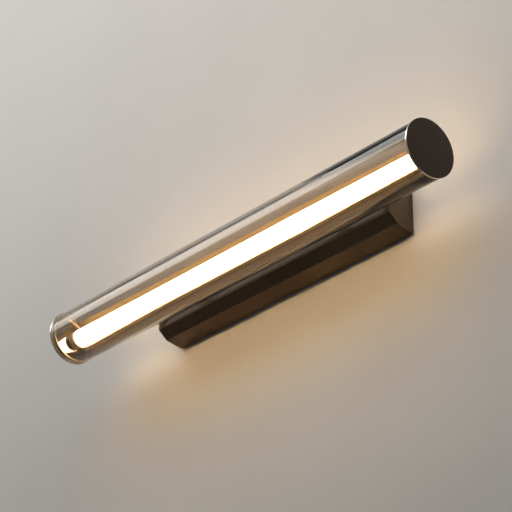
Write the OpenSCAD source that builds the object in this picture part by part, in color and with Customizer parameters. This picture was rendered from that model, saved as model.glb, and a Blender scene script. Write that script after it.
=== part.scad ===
// Tube wall light: a clear tube with a slim glowing lamp inside, held in front of a dark wall bracket.
// Millimetres. X runs along the tube, Y into the wall, Z up. The wall plane is y = 0, and the
// origin lies in it, midway between the two fixing holes of the wall plate.

/* [Outer tube] */
// Outside diameter of the clear outer tube
tube_d = 60; // [54:1:76]
// Wall thickness of the outer tube
tube_wall = 5; // [3.5:0.5:6]
// Length of the outer tube from end face to end face
tube_l = 570; // [480:1:900]
// Distance from the wall to the axis of the outer tube
axis_out = 75; // [70:1:110]

/* [Rear diffuser] */
// Thickness of the curved satin sheet behind the lamp
liner_t = 0.5; // [0.4:0.1:1]
// Angle that the satin sheet spans round the bore, in degrees
liner_angle = 130; // [90:1:150]

/* [Carrier] */
// Height of the hollow rail that carries the lamp
carrier_w = 11; // [9:0.5:14]
// Front to back depth of the rail
carrier_depth = 7.2; // [6.5:0.1:9]
// Wall thickness of the rail
carrier_wall = 1.4; // [1:0.1:1.8]

/* [Lamp] */
// Outside diameter of the glowing opal tube
lamp_d = 18; // [16:0.5:22]
// Wall thickness of the opal tube
lamp_wall = 1.35; // [1.1:0.05:1.6]
// Gap between the opal tube and the rail behind it
lamp_gap = 0.7; // [0.5:0.1:1.5]
// Length of each lamp holder along the tube
holder_l = 7.1; // [6:0.1:12]
// Centre to centre distance of the two contact pins
pin_pitch = 4.8; // [4.6:0.1:5.6]
// Diameter of a contact pin
pin_d = 2.3; // [1.8:0.1:2.5]
// Number of light points on each side of the lamp's strip
led_count = 40; // [20:1:60]

/* [End caps] */
// How far an end disc stands out past the tube all round
cap_overhang = 0.75; // [0.3:0.05:2]
// Thickness of an end disc
cap_t = 2; // [1.5:0.1:5]
// Thickness of the gasket between disc and tube
gasket_t = 0.5; // [0.3:0.1:1]
// Thickness of the mirror plate inside a cap
mirror_t = 0.6; // [0.5:0.1:1.2]
// Length of the brass spring ring along the tube
ring_l = 2.3; // [2:0.1:3]
// Radial width of the spring ring's face
ring_w = 1.6; // [1.2:0.1:3]

/* [Bracket] */
// Overall length of the wall bracket
bracket_l = 370; // [350:1:440]
// Height of the bracket at the wall
bracket_h = 53; // [50:1:60]
// Height of the bracket where its chamfers start
shoulder_h = 44.4; // [43:0.2:47]
// Height of the bracket's front face
front_h = 26; // [24:0.5:29]
// Distance from the wall to the bracket's front face
bracket_depth = 32.7; // [31:0.1:36]
// Distance from the wall to the start of the chamfers
shoulder_out = 22; // [20.5:0.1:23]
// Open joint between the bracket and the wall
shadow_gap = 1.5; // [1:0.1:2]
// Wall thickness of the extruded housing
housing_wall = 2.5; // [2:0.1:3]
// Thickness of the two front lips beside the slot
lip_t = 3.2; // [2.5:0.1:4]
// Height of the slot in the housing's front
slot_w = 17; // [15:0.5:18]
// Thickness of each end block
end_t = 12; // [10:0.5:20]

/* [Wall plate] */
// Sheet thickness of the wall plate
plate_t = 1.5; // [1:0.1:2]
// How far the plate's flanges reach out from the wall
flange_out = 11; // [8:0.5:12]
// Where a fixing hole sits between the standoff and the plate's end, as a share
fixing_share = 0.5; // [0.4:0.01:0.7]
// Diameter of a fixing hole
fixing_d = 5.2; // [4.2:0.1:6.5]
// Diameter of the hole in the cable grommet
cable_d = 9; // [6:0.5:11]

/* [Supports] */
// Clearance between the driver's end and the tray screws beside a standoff
gear_gap = 3.7; // [2:0.1:8]
// Diameter of a standoff between bracket and tube
standoff_d = 9; // [8.6:0.1:10]
// Diameter of the standoff's neck through the tube wall
neck_d = 6; // [5:0.1:6.4]
// Diameter of the standoff's threaded tail in the bracket
tail_d = 8; // [7:0.1:8.4]
// Diameter of the wire way through a standoff
wire_way_d = 3.6; // [3:0.1:3.8]
// Thickness of the outer saddle washer at its middle
washer_t = 1.5; // [1:0.1:3]

/* [Driver] */
// Length of the driver's case without its ears
driver_l = 138; // [100:1:140]
// Height of the driver's case
driver_h = 30; // [20:1:32]
// Depth of the driver's case
driver_depth = 15; // [12:0.5:16]

/* [Hidden] */
// Clearances: loose parts, seated parts, a push fit, and a thread in its hole
gap = 0.3;
seat = 0.05;
push_fit = 0.08;
thread_fit = 0.05;
// Overrun of every cut past the face that it opens
over = 1;
$fn = 96;

tube_r = tube_d / 2;
bore_r = tube_r - tube_wall;
tube_end = tube_l / 2;
axis_y = -axis_out;

// The rear diffuser lies against the bore
liner_ro = bore_r - push_fit;
liner_ri = liner_ro - liner_t;
liner_half = tube_end - ring_l - gap - over;

// The rail is a chord of the bore, and the lamp lies in front of it
carrier_corner_gap = 0.35;
carrier_back = sqrt(pow(liner_ri - carrier_corner_gap, 2) - pow(carrier_w / 2, 2));
carrier_front = carrier_back - carrier_depth;
lamp_r = lamp_d / 2;
lamp_off = carrier_front - lamp_gap - lamp_r;
lamp_y = axis_y + lamp_off;

// Cap stack along X, counted from the tube's end face
cap_boss_t = gasket_t + mirror_t;
disc_in = tube_end + gasket_t;
disc_out = disc_in + cap_t;
mirror_back = disc_in - cap_boss_t;
mirror_face = mirror_back - mirror_t;
ring_in = mirror_back - ring_l;
cap_boss_r = bore_r - gap - push_fit;
ring_ro = bore_r - push_fit;
ring_ri = ring_ro - ring_w;
mirror_r = ring_ri + ring_w / 2;
cap_edge = 0.4;

// Lamp and holders along X
holder_out = mirror_face - gap;
holder_in = holder_out - holder_l;
lamp_mouth = lamp_r - lamp_wall;
lamp_cap_r = lamp_mouth - seat;
holder_wall = 0.7;
holder_ri = lamp_cap_r + gap;
holder_ro = holder_ri + holder_wall;
insert_l_share = 0.55;
insert_l = holder_l * insert_l_share;
insert_floor = 0.5;
insert_out = holder_out - seat;
insert_in = insert_out - insert_l;
pin_r = pin_d / 2;
pin_orbit = pin_pitch / 2;
pin_slot = pin_d + gap;
lamp_cap_out = insert_in - gap;
lamp_cap_l = 9;
lamp_half = holder_in - gap;
lamp_round = 3;
strip_half = lamp_cap_out - lamp_cap_l - gap;
strip_t = 1.2;
strip_w_share = 0.75;
strip_w = 2 * lamp_mouth * strip_w_share;
board_t = 0.8;
board_w = strip_w * strip_w_share;
led_size = 2.4;
led_t = 0.7;

// Rail and holder feet
carrier_half = holder_in - gap - seat;
foot_w = carrier_w - 2 * gap;
duct_front = carrier_front + carrier_wall;
duct_back = carrier_back - carrier_wall;
duct_w = carrier_w - 2 * carrier_wall;
tongue_l = 10;
tongue_t = (duct_back - duct_front) * 0.6;
tongue_w = duct_w - 2 * gap;
holder_screw_d = 2.5;
holder_screw_head_d = 4.4;
holder_screw_x = carrier_half - tongue_l / 2;

// Bracket outline: distance out from the wall, half height
half_h = bracket_h / 2;
shoulder_z = shoulder_h / 2;
front_z = front_h / 2;
housing_l = bracket_l - 2 * end_t;
lip_in = bracket_depth - lip_t;
flat_slope = (shoulder_z - half_h) / (shoulder_out - shadow_gap);
chamfer_slope = (front_z - shoulder_z) / (bracket_depth - shoulder_out);
flat_inset = housing_wall * sqrt(1 + flat_slope * flat_slope);
chamfer_inset = housing_wall * sqrt(1 + chamfer_slope * chamfer_slope);
inner_shoulder_out = (shoulder_z - shoulder_out * chamfer_slope - chamfer_inset
    - half_h + shadow_gap * flat_slope + flat_inset) / (flat_slope - chamfer_slope);

// The driver and the terminal block lie in a row between the standoffs, which they set apart
ear_l = 6;
terminal_l = 26;
terminal_gap = 7;
tray_screw_x = 12;
tray_screw_d = 3;
screw_head_d = 5.6;
screw_head_t = 2;
gear_half = (terminal_l + terminal_gap + driver_l + 2 * ear_l) / 2;
driver_x = gear_half - ear_l - driver_l / 2;
terminal_x = terminal_l / 2 - gear_half;
standoff_x = gear_half + gear_gap + screw_head_d / 2 + tray_screw_x;

// Fixing pieces inside the bracket
web_t = 2;
block_t = 6;
block_l = 30;
block_out = lip_in;
block_in = block_out - block_t;
web_out = block_in;
web_in = web_out - web_t;
block_back_z = 15;
block_front_z = inner_z(block_out) - over;
tray_t = 1.5;
tray_out = web_in;
tray_in = tray_out - tray_t;
tray_z = inner_z(tray_out) - tray_t - over / 2;
tray_half = housing_l / 2 - end_t;
boss_r = 2.8;
boss_out = shoulder_out - 2 * boss_r + gap / 2;
boss_z = inner_z(boss_out) - boss_r + tray_t - seat;
dowel_d = 2.5;
dowel_l = end_t;
slot_cover_t = 1.2;
locknut_t = 3;
locknut_w = 13;
standoff_face = axis_out - tube_r - washer_t;
tail_in = tray_in - locknut_t - over / 2;
carrier_nut_w = duct_w - gap;
carrier_nut_t = 2.2;
neck_end = duct_back - carrier_nut_t - seat;
outer_washer_r = standoff_d / 2 + over;
washer_margin = 1.6;
inner_washer_r = neck_d / 2 + washer_margin;
inner_washer_t = sqrt(liner_ri * liner_ri - inner_washer_r * inner_washer_r) - carrier_back - seat;
set_screw_x = 9;
set_screw_d = 3;
socket_d_share = 0.5;

// Wall plate and what it carries
pad_h = 0.9;
flange_z = inner_z(flange_out) - pad_h;
plate_half = housing_l / 2 - 2 * plate_t;
fixing_pitch = 2 * (standoff_x + fixing_share * (plate_half - standoff_x));
pad_l = 20;
pad_out = 18;
pad_x = standoff_x + pad_out;
pad_in = 2 * shadow_gap;
lock_screw_d = 4;
lock_screw_out = (pad_in + flange_out - over) / 2;
cable_x = -standoff_x;
grommet_wall = 3.5;
grommet_r = cable_d / 2 + grommet_wall;
grommet_lip = 2;
grommet_lip_t = 1.8;
stud_x = standoff_x;
stud_d = 4;
stud_l = 9;
nut_w = 7;
nut_t = 3.2;
seal_w = 3;
seal_inset = 1;

// Driver, terminals and leads
ear_t = 2;
ear_w = 16;
terminal_h = 20;
terminal_depth = 13;
terminal_pitch = 6.5;
terminal_screw_d = 3;
terminal_way_d = 3.4;
lead_d = 1.1;
lead_z = 0.9;
supply_d = 2;
driver_mid = tray_in - driver_depth / 2;
terminal_mid = tray_in - terminal_depth / 2;
lead_off = (duct_front + neck_end) / 2;

bronze = [0.11, 0.09, 0.07];
black = [0.06, 0.05, 0.045];
steel = [0.62, 0.63, 0.65];
alloy = [0.72, 0.72, 0.73];
gold = [0.8, 0.6, 0.3];
rubber = [0.04, 0.04, 0.04];
glow = [1, 0.93, 0.8];
smoke = [0.75, 0.7, 0.62, 0.35];
satin = [0.7, 0.62, 0.5, 0.6];
white = [0.9, 0.9, 0.88];

// Half height of the housing's cavity at a distance from the wall
function inner_z(out) = out < inner_shoulder_out
    ? half_h + (out - shadow_gap) * flat_slope - flat_inset
    : shoulder_z + (out - shoulder_out) * chamfer_slope - chamfer_inset;

// Both sides of an outline given as [distance out, half height] pairs
function both_sides(pairs) = concat(
    [for (p = pairs) [-p[0], p[1]]],
    [for (i = [len(pairs) - 1 : -1 : 0]) [-pairs[i][0], -pairs[i][1]]]);

// Extrudes an outline drawn in Y and Z along X, centred on x
module along_x(length, x = 0) {
    translate([x, 0, 0])
        rotate([90, 0, 90])
            linear_extrude(height = length, center = true)
                children();
}

// Round bar along X between two places
module bar_x(r, x0, x1, y = 0, z = 0) {
    translate([x0, y, z])
        rotate([0, 90, 0])
            cylinder(r = r, h = x1 - x0);
}

// Round bar along Y between two distances out from the wall
module bar_y(r, out0, out1, x = 0, z = 0) {
    translate([x, -out0, z])
        rotate([90, 0, 0])
            cylinder(r = r, h = out1 - out0);
}

// Box from X, distance out and Z limits
module block(x0, x1, out0, out1, z0, z1) {
    translate([x0, -out1, z0])
        cube([x1 - x0, out1 - out0, z1 - z0]);
}

// Places children at +x and -x
module pair_x(x) {
    for (side = [-1, 1])
        translate([side * x, 0, 0])
            children();
}

// Turned part on the tube's axis from [X, radius] points; side -1 mirrors it to the left end
module turned(points, side = 1, off = 0) {
    translate([0, axis_y + off, 0])
        rotate([0, side * 90, 0])
            rotate_extrude()
                polygon([for (p = points) [p[1], p[0]]]);
}

module wall_plate() {
    color(steel)
        difference() {
            union() {
                block(-plate_half, plate_half, 0, plate_t, -flange_z, flange_z);
                block(-plate_half, plate_half, 0, flange_out, flange_z - plate_t, flange_z);
                block(-plate_half, plate_half, 0, flange_out, -flange_z, plate_t - flange_z);
            }
            pair_x(fixing_pitch / 2)
                bar_y(fixing_d / 2, -over, plate_t + over);
            bar_y(grommet_r, -over, plate_t + over, cable_x);
        }
}

module cable_grommet() {
    color(rubber)
        difference() {
            union() {
                bar_y(grommet_r - seat, 0, plate_t + over / 2, cable_x);
                bar_y(grommet_r + grommet_lip, plate_t, plate_t + grommet_lip_t, cable_x);
            }
            bar_y(cable_d / 2, -over, plate_t + grommet_lip_t + over, cable_x);
        }
}

module earth_stud() {
    color(gold)
        bar_y(stud_d / 2, plate_t, plate_t + stud_l, stud_x);
}

module earth_nut() {
    color(gold)
        translate([stud_x, -plate_t - seat, 0])
            rotate([90, 0, 0])
                difference() {
                    cylinder(d = nut_w / cos(30), h = nut_t, $fn = 6);
                    translate([0, 0, -over])
                        cylinder(d = stud_d + 2 * thread_fit, h = nut_t + 2 * over);
                }
}

// Full outline of the bracket, used by the housing and both end blocks
module bracket_outline() {
    polygon(both_sides([[shadow_gap, half_h], [shoulder_out, shoulder_z], [bracket_depth, front_z]]));
}

module cavity_outline() {
    polygon(both_sides([[shadow_gap - over, inner_z(shadow_gap)],
        [inner_shoulder_out, inner_z(inner_shoulder_out)], [lip_in, inner_z(lip_in)]]));
}

module bracket_housing() {
    color(black)
        difference() {
            union() {
                along_x(housing_l)
                    difference() {
                        bracket_outline();
                        cavity_outline();
                        translate([-bracket_depth - over, -slot_w / 2])
                            square([lip_t + 2 * over, slot_w]);
                    }
                // Web behind the clamp blocks, and channels for the dowels
                along_x(housing_l)
                    intersection() {
                        bracket_outline();
                        union() {
                            translate([-web_out, -half_h])
                                square([web_t, bracket_h]);
                            for (side = [-1, 1])
                                translate([-boss_out, side * boss_z])
                                    circle(r = boss_r);
                        }
                    }
                // Pads that rest on the wall plate's flanges
                for (side = [-1, 1], x = [-pad_x, pad_x])
                    along_x(pad_l, x)
                        intersection() {
                            bracket_outline();
                            translate([-flange_out + over, side > 0 ? flange_z + seat : -half_h])
                                square([flange_out - over - pad_in, half_h - flange_z - seat]);
                        }
            }
            for (side = [-1, 1])
                bar_x(dowel_d / 2 + seat, -housing_l, housing_l, -boss_out, side * boss_z);
            pair_x(standoff_x) {
                bar_y(tail_d / 2 + over, web_in - over, web_out + over);
                pair_x(tray_screw_x)
                    bar_y(tray_screw_d / 2 + gap / 2, web_in - over, web_out + over);
            }
            pair_x(pad_x)
                translate([0, -lock_screw_out, 0])
                    cylinder(d = lock_screw_d + 2 * thread_fit, h = bracket_h);
        }
}

module bracket_end(side) {
    color(black)
        difference() {
            along_x(end_t, side * (housing_l + end_t) / 2)
                bracket_outline();
            for (z = [-boss_z, boss_z])
                bar_x(dowel_d / 2 + seat, side > 0 ? housing_l / 2 - over : -housing_l / 2 - dowel_l / 2 - seat,
                    side > 0 ? housing_l / 2 + dowel_l / 2 + seat : over - housing_l / 2, -boss_out, z);
        }
}

module end_dowels() {
    color(steel)
        for (side = [-1, 1], z = [-boss_z, boss_z])
            bar_x(dowel_d / 2, side * housing_l / 2 - dowel_l / 2, side * housing_l / 2 + dowel_l / 2,
                -boss_out, z);
}

module bracket_seal() {
    outer_x = bracket_l / 2 - seal_inset;
    outer_z = half_h - seal_inset;
    color(rubber)
        difference() {
            block(-outer_x, outer_x, 0, shadow_gap, -outer_z, outer_z);
            block(seal_w - outer_x, outer_x - seal_w, -over, shadow_gap + over, seal_w - outer_z, outer_z - seal_w);
        }
}

module locking_screws() {
    top = half_h + (lock_screw_out - shadow_gap) * flat_slope - gap;
    color(steel)
        pair_x(pad_x)
            translate([0, -lock_screw_out, flange_z + 2 * seat])
                difference() {
                    cylinder(d = lock_screw_d, h = top - flange_z - 2 * seat);
                    translate([0, 0, top - flange_z - lock_screw_d * socket_d_share])
                        cylinder(d = lock_screw_d * socket_d_share, h = lock_screw_d, $fn = 6);
                }
}

module clamp_blocks() {
    color(alloy)
        pair_x(standoff_x)
            difference() {
                along_x(block_l)
                    polygon(both_sides([[block_in, block_back_z], [block_in + block_t / 2, block_back_z - over],
                        [block_out, block_front_z]]));
                bar_y(tail_d / 2 + thread_fit, block_in - over, block_out + over);
                pair_x(tray_screw_x)
                    bar_y(tray_screw_d / 2 + thread_fit, block_in - over, block_out - over);
                for (x = [-set_screw_x, set_screw_x], z = [-1, 1])
                    bar_y(set_screw_d / 2 + thread_fit, block_in - over, block_out + over, x,
                        z * (slot_w / 2 + set_screw_d / 2 + seat));
            }
}

module block_set_screws() {
    color(steel)
        pair_x(standoff_x)
            for (x = [-set_screw_x, set_screw_x], z = [-1, 1])
                difference() {
                    bar_y(set_screw_d / 2, block_in + over / 2, block_out, x,
                        z * (slot_w / 2 + set_screw_d / 2 + seat));
                    translate([x, -block_in - over / 2, z * (slot_w / 2 + set_screw_d / 2 + seat)])
                        rotate([90, 0, 0])
                            cylinder(d = set_screw_d * socket_d_share, h = over, $fn = 6);
                }
}

module gear_tray() {
    color(steel)
        difference() {
            block(-tray_half, tray_half, tray_in, tray_out, -tray_z, tray_z);
            pair_x(standoff_x) {
                bar_y(tail_d / 2 + over, tray_in - over, tray_out + over);
                pair_x(tray_screw_x)
                    bar_y(tray_screw_d / 2 + gap / 2, tray_in - over, tray_out + over);
            }
            translate([driver_x, 0, 0])
                pair_x((driver_l + ear_l) / 2)
                    bar_y(tray_screw_d / 2 + thread_fit, tray_in - over, tray_out + over);
        }
}

// Pan head screw along Y; head towards the wall
module pan_screw(d, head_in, length) {
    difference() {
        union() {
            bar_y(screw_head_d / 2, head_in, head_in + screw_head_t);
            bar_y(d / 2, head_in + screw_head_t - seat, head_in + screw_head_t + length);
        }
        for (turn = [0, 90])
            translate([0, -head_in, 0])
                rotate([0, turn, 0])
                    cube([screw_head_d * socket_d_share, screw_head_t, screw_head_t / 3], center = true);
    }
}

module tray_screws() {
    color(steel)
        pair_x(standoff_x)
            pair_x(tray_screw_x)
                pan_screw(tray_screw_d, tray_in - screw_head_t, tray_t + web_t + block_t / 2);
}

module led_driver() {
    body = driver_l / 2;
    color(white)
        translate([driver_x, 0, 0])
            difference() {
                union() {
                    block(-body, body, tray_in - driver_depth, tray_in, -driver_h / 2, driver_h / 2);
                    block(-body - ear_l, body + ear_l, tray_in - ear_t, tray_in, -ear_w / 2, ear_w / 2);
                }
                pair_x((driver_l + ear_l) / 2)
                    bar_y(tray_screw_d / 2 + gap / 2, tray_in - ear_t - over, tray_in + over);
                for (z = [-driver_h / 2, driver_h / 2], i = [-5 : 5])
                    translate([i * driver_l / 12, -driver_mid, z])
                        cube([over, driver_depth + over, over], center = true);
            }
}

module driver_screws() {
    color(steel)
        translate([driver_x, 0, 0])
            pair_x((driver_l + ear_l) / 2)
                pan_screw(tray_screw_d, tray_in - ear_t - screw_head_t, ear_t + tray_t);
}

module terminal_block() {
    color(white)
        difference() {
            block(terminal_x - terminal_l / 2, terminal_x + terminal_l / 2, tray_in - terminal_depth, tray_in,
                -terminal_h / 2, terminal_h / 2);
            for (z = [-terminal_pitch, 0, terminal_pitch]) {
                bar_x(terminal_way_d / 2, terminal_x - terminal_l, terminal_x + terminal_l, -terminal_mid, z);
                for (x = [-terminal_l / 4, terminal_l / 4])
                    bar_y(terminal_screw_d / 2 + gap, tray_in - terminal_depth - over, terminal_mid, terminal_x + x, z);
            }
        }
}

module terminal_screws() {
    head = tray_in - terminal_depth + over / 2;
    color(gold)
        for (x = [-terminal_l / 4, terminal_l / 4], z = [-terminal_pitch, 0, terminal_pitch])
            difference() {
                bar_y(terminal_screw_d / 2, head, terminal_mid - supply_d / 2 - seat, terminal_x + x, z);
                translate([terminal_x + x, -head, z])
                    cube([terminal_screw_d + over, over, over / 2], center = true);
            }
}

module supply_leads() {
    color(glow)
        for (z = [-terminal_pitch, terminal_pitch])
            bar_x(supply_d / 2, terminal_x, driver_x - driver_l / 2, -terminal_mid, z);
}

module slot_cover() {
    color(rubber)
        difference() {
            block(gap - housing_l / 2, housing_l / 2 - gap, block_out, block_out + slot_cover_t,
                gap - slot_w / 2, slot_w / 2 - gap);
            pair_x(standoff_x)
                bar_y(standoff_d / 2 + gap, block_out - over, block_out + slot_cover_t + over);
        }
}

module standoffs() {
    color(black)
        pair_x(standoff_x)
            difference() {
                union() {
                    bar_y(tail_d / 2, tail_in, block_out);
                    bar_y(standoff_d / 2, block_out, standoff_face);
                    bar_y(neck_d / 2, standoff_face - over, axis_out - neck_end);
                }
                bar_y(wire_way_d / 2, tail_in - over, axis_out - neck_end + over);
            }
}

module standoff_locknuts() {
    color(steel)
        pair_x(standoff_x)
            translate([0, locknut_t - tray_in, 0])
                rotate([90, 0, 0])
                    difference() {
                        cylinder(d = locknut_w / cos(30), h = locknut_t, $fn = 6);
                        translate([0, 0, -over])
                            cylinder(d = tail_d + 2 * thread_fit, h = locknut_t + 2 * over);
                    }
}

module outer_washers() {
    color(rubber)
        pair_x(standoff_x)
            difference() {
                bar_y(outer_washer_r, standoff_face, axis_out - tube_r + over);
                bar_y(neck_d / 2 + seat, standoff_face - over, axis_out);
                bar_x(tube_r + seat, -standoff_d, standoff_d, axis_y);
            }
}

module inner_washers() {
    color(rubber)
        pair_x(standoff_x)
            difference() {
                bar_y(inner_washer_r, axis_out - carrier_back - inner_washer_t, axis_out - carrier_back);
                bar_y(neck_d / 2 + seat, axis_out - bore_r, axis_out);
            }
}

module carrier_nuts() {
    color(steel)
        pair_x(standoff_x)
            difference() {
                block(-carrier_nut_w / 2, carrier_nut_w / 2, axis_out - duct_back + seat,
                    axis_out - duct_back + carrier_nut_t, -carrier_nut_w / 2, carrier_nut_w / 2);
                bar_y(neck_d / 2 + thread_fit, 0, axis_out);
            }
}

module outer_tube() {
    color(smoke)
        difference() {
            bar_x(tube_r, -tube_end, tube_end, axis_y);
            bar_x(bore_r, -tube_end - over, tube_end + over, axis_y);
            pair_x(standoff_x)
                bar_y(neck_d / 2 + gap / 2, 0, axis_out);
        }
}

module rear_diffuser() {
    color(satin)
        difference() {
            translate([-liner_half, axis_y, 0])
                rotate([0, 90, 0])
                    rotate([0, 0, 90 - liner_angle / 2])
                        rotate_extrude(angle = liner_angle)
                            translate([liner_ri, 0])
                                square([liner_t, 2 * liner_half]);
            pair_x(standoff_x)
                bar_y(neck_d / 2 + gap / 2, 0, axis_out);
        }
}

module lamp_carrier() {
    color(alloy)
        difference() {
            block(-carrier_half, carrier_half, axis_out - carrier_back, axis_out - carrier_front,
                -carrier_w / 2, carrier_w / 2);
            block(-carrier_half - over, carrier_half + over, axis_out - duct_back, axis_out - duct_front,
                -duct_w / 2, duct_w / 2);
            pair_x(standoff_x)
                bar_y(neck_d / 2 + seat, axis_out - bore_r, axis_out - duct_back + over);
            pair_x(holder_screw_x)
                bar_y(holder_screw_head_d / 2 + seat, axis_out - bore_r, axis_out - duct_back + over);
        }
}

// One lead from the driver, through the right standoff, then both ways along the rail
module lamp_lead(z) {
    start = driver_x + driver_l / 2;
    bar_x(lead_d / 2, start, standoff_x, -driver_mid, z);
    translate([standoff_x, -driver_mid, z])
        sphere(d = lead_d);
    bar_y(lead_d / 2, driver_mid, axis_out - lead_off, standoff_x, z);
    translate([standoff_x, axis_y + lead_off, z])
        sphere(d = lead_d);
    bar_x(lead_d / 2, tongue_l + gap - carrier_half, carrier_half - tongue_l - gap, axis_y + lead_off, z);
}

module lamp_leads() {
    color(white) {
        lamp_lead(-lead_z);
        lamp_lead(lead_z);
    }
}

module holder(side) {
    tongue_back = duct_back - gap / 2;
    color(gold)
        mirror([side < 0 ? 1 : 0, 0, 0])
            difference() {
                union() {
                    bar_x(holder_ro, holder_in, holder_out, lamp_y);
                    block(holder_in, holder_out, axis_out - duct_back, -lamp_y - holder_ri,
                        -foot_w / 2, foot_w / 2);
                    block(carrier_half - tongue_l, holder_in + over, axis_out - tongue_back,
                        axis_out - tongue_back + tongue_t, -tongue_w / 2, tongue_w / 2);
                }
                bar_x(holder_ri, holder_in - over, holder_out + over, lamp_y);
                block(holder_in - over, holder_out - insert_floor, -lamp_y - pin_slot / 2, -lamp_y + pin_slot / 2,
                    -lamp_r, 0);
                bar_y(holder_screw_d / 2 + thread_fit, 0, axis_out - tongue_back + tongue_t + over, holder_screw_x);
            }
}

module holder_insert(side) {
    color(white)
        mirror([side < 0 ? 1 : 0, 0, 0])
            difference() {
                bar_x(holder_ri - seat, insert_in, insert_out, lamp_y);
                difference() {
                    bar_x(pin_orbit + pin_r + gap, insert_in - over, insert_out - insert_floor, lamp_y);
                    bar_x(pin_orbit - pin_r - gap, insert_in - over, insert_out, lamp_y);
                }
                block(insert_in - over, insert_out - insert_floor, -lamp_y - pin_slot / 2, -lamp_y + pin_slot / 2,
                    -lamp_r, -pin_orbit);
            }
}

module holder_screws() {
    head_in = axis_out - carrier_back + seat;
    head_out = axis_out - duct_back;
    color(steel)
        pair_x(holder_screw_x)
            difference() {
                union() {
                    bar_y(holder_screw_head_d / 2, head_in, head_out);
                    bar_y(holder_screw_d / 2, head_in, head_out + tongue_t);
                }
                translate([0, -head_in, 0])
                    cube([holder_screw_head_d, over, over / 2], center = true);
            }
}

module end_cap(side) {
    color(bronze)
        turned([[mirror_back, 0], [mirror_back, cap_boss_r], [disc_in, cap_boss_r],
            [disc_in, tube_r + cap_overhang], [disc_out - cap_edge, tube_r + cap_overhang],
            [disc_out, tube_r + cap_overhang - cap_edge], [disc_out, 0]], side);
}

module cap_gasket(side) {
    color(rubber)
        turned([[tube_end, cap_boss_r + gap], [tube_end, tube_r - gap],
            [disc_in, tube_r - gap], [disc_in, cap_boss_r + gap]], side);
}

module mirror_plate(side) {
    color(alloy)
        turned([[mirror_face, 0], [mirror_face, mirror_r], [mirror_back, mirror_r], [mirror_back, 0]], side);
}

module spring_ring(side) {
    color(gold)
        difference() {
            turned([[mirror_back, mirror_r + seat], [mirror_back, ring_ro], [ring_in, ring_ro],
                [ring_in, ring_ri], [mirror_face, ring_ri], [mirror_face, mirror_r + seat]], side);
            block(side * tube_end - tube_wall, side * tube_end + tube_wall, axis_out - over, axis_out + over,
                0, tube_r);
        }
}

// Opal tube with rounded shoulders
module lamp_tube() {
    steps = 6;
    color(glow)
        difference() {
            translate([0, lamp_y, 0])
                rotate([0, 90, 0])
                    rotate_extrude()
                        polygon(concat(
                            [[0, -lamp_half]],
                            [for (i = [0 : steps]) [lamp_r - lamp_round * (1 - sin(90 * i / steps)),
                                lamp_round * (1 - cos(90 * i / steps)) - lamp_half]],
                            [for (i = [steps : -1 : 0]) [lamp_r - lamp_round * (1 - sin(90 * i / steps)),
                                lamp_half - lamp_round * (1 - cos(90 * i / steps))]],
                            [[0, lamp_half]]));
            bar_x(lamp_mouth, -lamp_half - over, lamp_half + over, lamp_y);
        }
}

module lamp_caps() {
    color(alloy)
        for (side = [-1, 1])
            mirror([side < 0 ? 1 : 0, 0, 0])
                bar_x(lamp_cap_r, lamp_cap_out - lamp_cap_l, lamp_cap_out, lamp_y);
}

module lamp_pins() {
    color(gold)
        for (side = [-1, 1], y = [-pin_orbit, pin_orbit])
            mirror([side < 0 ? 1 : 0, 0, 0])
                bar_x(pin_r, lamp_cap_out, insert_out - insert_floor - gap, lamp_y + y);
}

module heat_strip() {
    color(alloy)
        block(-strip_half, strip_half, -lamp_y - strip_t / 2, -lamp_y + strip_t / 2, -strip_w / 2, strip_w / 2);
}

module led_boards() {
    color(white)
        for (side = [-1, 1])
            translate([0, lamp_y + side * (strip_t + board_t) / 2, 0])
                cube([2 * strip_half, board_t, board_w], center = true);
}

module led_chips() {
    pitch = 2 * strip_half / led_count;
    color(glow)
        for (side = [-1, 1], i = [0 : led_count - 1])
            translate([(i + 0.5) * pitch - strip_half, lamp_y + side * (strip_t + 2 * board_t + led_t) / 2, 0])
                cube([led_size, led_t, led_size], center = true);
}

wall_plate();
cable_grommet();
earth_stud();
earth_nut();
bracket_housing();
bracket_end(-1);  // bracket_end_left
bracket_end(1);  // bracket_end_right
end_dowels();
bracket_seal();
locking_screws();
clamp_blocks();
block_set_screws();
gear_tray();
tray_screws();
led_driver();
driver_screws();
terminal_block();
terminal_screws();
supply_leads();
slot_cover();
standoffs();
standoff_locknuts();
outer_washers();
inner_washers();
carrier_nuts();
outer_tube();
rear_diffuser();
lamp_carrier();
lamp_leads();
holder(-1);  // holder_left
holder(1);  // holder_right
holder_insert(-1);  // holder_insert_left
holder_insert(1);  // holder_insert_right
holder_screws();
end_cap(-1);  // end_cap_left
cap_gasket(-1);  // cap_gasket_left
mirror_plate(-1);  // mirror_plate_left
spring_ring(-1);  // spring_ring_left
end_cap(1);  // end_cap_right
cap_gasket(1);  // cap_gasket_right
mirror_plate(1);  // mirror_plate_right
spring_ring(1);  // spring_ring_right
lamp_tube();
lamp_caps();
lamp_pins();
heat_strip();
led_boards();
led_chips();
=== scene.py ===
import bmesh
import bpy
import math
from mathutils import Matrix, Vector


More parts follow.
